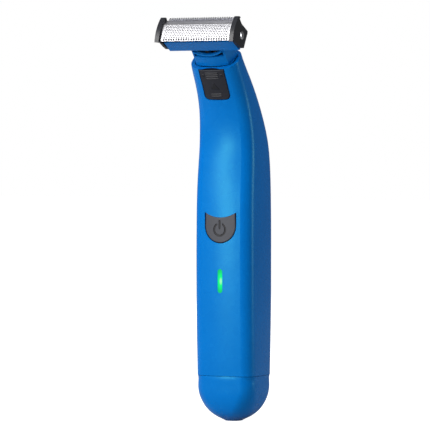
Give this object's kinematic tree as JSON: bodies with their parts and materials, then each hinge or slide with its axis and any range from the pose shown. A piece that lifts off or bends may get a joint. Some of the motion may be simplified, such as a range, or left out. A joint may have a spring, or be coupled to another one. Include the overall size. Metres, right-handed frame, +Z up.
{
  "type": "body groomer",
  "caption": "Cordless body groomer: bent-neck handle with power and release buttons, and a lift-off T head with a perforated foil, comb edge and reciprocating cutter.",
  "frame": {"origin": "centre of the charging socket's mouth at the bottom of the handle", "axes": "+Z up the straight handle towards the head, +X along the width of the head, -Y towards the side with the buttons and the foil"},
  "size_m": [0.0362, 0.048, 0.1671],
  "materials": {
    "blue_shell": "satin moulded plastic, bright blue",
    "black_plastic": "satin black moulding",
    "charcoal_button": "satin charcoal moulding",
    "green_lens": "clear light pipe, lit green",
    "foil_steel": "thin perforated steel",
    "comb_steel": "ground steel",
    "pin_steel": "polished steel",
    "seal_rubber": "black rubber",
    "frame_plastic": "dark grey moulding",
    "drive_plastic": "white low-friction plastic",
    "cell_wrap": "grey plastic sleeve",
    "nickel": "nickel strip",
    "board_green": "green solder mask",
    "socket_metal": "plated metal",
    "switch_body": "black switch",
    "led_chip": "white LED package"
  },
  "bodies": {
    "handle": {"housing": "blue_shell", "bottom_cap": "blue_shell", "cap_seal": "seal_rubber", "charge_socket": "socket_metal", "chassis": "frame_plastic", "chassis_screws": "pin_steel", "battery": "cell_wrap", "battery_tabs": "nickel", "main_board": "board_green", "tact_switch": "switch_body", "indicator_led": "led_chip", "indicator_lens": "green_lens", "motor_can": "pin_steel", "pivot_frame": "frame_plastic", "lever_pin": "pin_steel", "neck_bulkhead": "frame_plastic", "drive_boot": "seal_rubber", "release_spring": "comb_steel"},
    "power_button": {"power_button": "charcoal_button", "button_pad": "seal_rubber"},
    "release": {"release_button": "charcoal_button", "release_catch": "frame_plastic"},
    "rotor": {"motor_shaft": "pin_steel", "drive_eccentric": "drive_plastic"},
    "lever": {"drive_lever": "drive_plastic", "drive_pin": "pin_steel"},
    "head": {"head_frame": "blue_shell", "float_spring": "blue_shell"},
    "cassette": {"end_cap_left": "black_plastic", "end_cap_right": "black_plastic", "foil": "foil_steel", "foil_frame": "black_plastic", "trimmer_comb": "comb_steel", "pivot_pin_left": "pin_steel", "pivot_pin_right": "pin_steel"},
    "cutter": {"cutter_block": "frame_plastic", "cutter_blades": "comb_steel", "trimmer_blade": "comb_steel"}
  },
  "joints": [
    {"name": "power_press", "type": "slide", "parent": "handle", "child": "power_button", "axis": [0, 1, 0], "range_m": [0, 0.0005], "stiffness_N_per_m": 1500},
    {"name": "release_press", "type": "slide", "parent": "handle", "child": "release", "axis": [0, 0.866, 0.5], "range_m": [0, 0.0006], "stiffness_N_per_m": 1500},
    {"name": "motor_spin", "type": "hinge", "parent": "handle", "child": "rotor", "pos_m": [0, 0.0008, 0.113], "axis": [0, 0, 1], "continuous": true},
    {"name": "lever_rock", "type": "hinge", "parent": "handle", "child": "lever", "pos_m": [0, -0.006, 0.1325], "axis": [0, 0.8988, 0.4384], "range_deg": [-2.75, 2.75]},
    {"name": "head_lift", "type": "slide", "parent": "handle", "child": "head", "axis": [0, -0.6428, 0.766], "range_m": [0, 0.014]},
    {"name": "cassette_tilt", "type": "hinge", "parent": "head", "child": "cassette", "pos_m": [0, -0.0266, 0.1594], "axis": [1, 0, 0], "range_deg": [-2.5, 2.5], "stiffness_Nm_per_rad": 0.06},
    {"name": "cutter_slide", "type": "slide", "parent": "cassette", "child": "cutter", "axis": [1, 0, 0], "range_m": [-0.0012, 0.0012]}
  ],
  "couplings": [
    {"joint": "lever_rock", "follows": "cutter_slide", "rad_per_m": 38.45}
  ]
}
